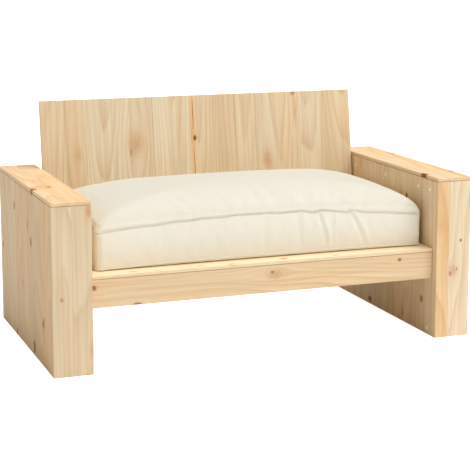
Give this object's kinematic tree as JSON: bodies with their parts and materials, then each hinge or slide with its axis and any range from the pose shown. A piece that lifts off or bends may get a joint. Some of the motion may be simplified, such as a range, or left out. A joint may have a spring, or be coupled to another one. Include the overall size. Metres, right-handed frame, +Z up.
{
  "type": "dog bed with frame",
  "caption": "Low pine dog sofa: two boxy hollow arms, a slatted seat on rails, a leaning plank backrest and a loose crowned box cushion.",
  "frame": {"origin": "on the floor, in the middle of the footprint", "axes": "+X across the bed to the right arm seen from the front, +Y from the open front to the backrest, +Z up"},
  "size_m": [1.105, 0.6, 0.5978],
  "materials": {
    "pine_panel": "smooth sanded, unfinished edge-glued pine",
    "pine_slat": "smooth sanded, unfinished pine",
    "pine_rail": "smooth sanded, unfinished pine",
    "pine_batten": "planed, unfinished pine",
    "cushion_fabric": "ivory close-woven polyester, matt with a faint sheen",
    "cushion_filling": "loose white polyester fibre",
    "zipper_tape": "ivory woven tape",
    "zipper_metal": "dull nickel",
    "screw_cap": "cream moulded plastic",
    "zinc_screw": "bright zinc",
    "bracket_steel": "zinc-plated sheet"
  },
  "bodies": {
    "frame": {"arm_screw_caps": "screw_cap", "arm_screws": "zinc_screw", "backrest_cleat_screws": "zinc_screw", "backrest_panel": "pine_panel", "backrest_screws": "zinc_screw", "batten_screws": "zinc_screw", "bearer_screws": "zinc_screw", "bracket_screws": "zinc_screw", "centre_seat_bearer": "pine_batten", "front_rail": "pine_rail", "left_arm_back_panel": "pine_panel", "left_arm_front_panel": "pine_panel", "left_arm_inner_back_cleat": "pine_batten", "left_arm_inner_front_cleat": "pine_batten", "left_arm_inner_panel": "pine_panel", "left_arm_inner_top_cleat": "pine_batten", "left_arm_outer_back_cleat": "pine_batten", "left_arm_outer_front_cleat": "pine_batten", "left_arm_outer_panel": "pine_panel", "left_arm_outer_top_cleat": "pine_batten", "left_arm_top_panel": "pine_panel", "left_backrest_cleat": "pine_batten", "left_seat_bearer": "pine_batten", "lower_backrest_batten": "pine_batten", "rear_rail": "pine_rail", "right_arm_back_panel": "pine_panel", "right_arm_front_panel": "pine_panel", "right_arm_inner_back_cleat": "pine_batten", "right_arm_inner_front_cleat": "pine_batten", "right_arm_inner_panel": "pine_panel", "right_arm_inner_top_cleat": "pine_batten", "right_arm_outer_back_cleat": "pine_batten", "right_arm_outer_front_cleat": "pine_batten", "right_arm_outer_panel": "pine_panel", "right_arm_outer_top_cleat": "pine_batten", "right_arm_top_panel": "pine_panel", "right_backrest_cleat": "pine_batten", "right_seat_bearer": "pine_batten", "seat_brackets": "bracket_steel", "seat_screws": "zinc_screw", "seat_slat_1": "pine_slat", "seat_slat_2": "pine_slat", "seat_slat_3": "pine_slat", "seat_slat_4": "pine_slat", "seat_slat_5": "pine_slat", "upper_backrest_batten": "pine_batten"},
    "cushion": {"cushion_cover": "cushion_fabric", "cushion_filling": "cushion_filling", "cushion_zipper_slider": "zipper_metal", "cushion_zipper_tape": "zipper_tape"}
  },
  "joints": [
    {"name": "cushion_lift", "type": "slide", "parent": "frame", "child": "cushion", "axis": [0, 0, 1], "range_m": [0, 0.4]}
  ]
}
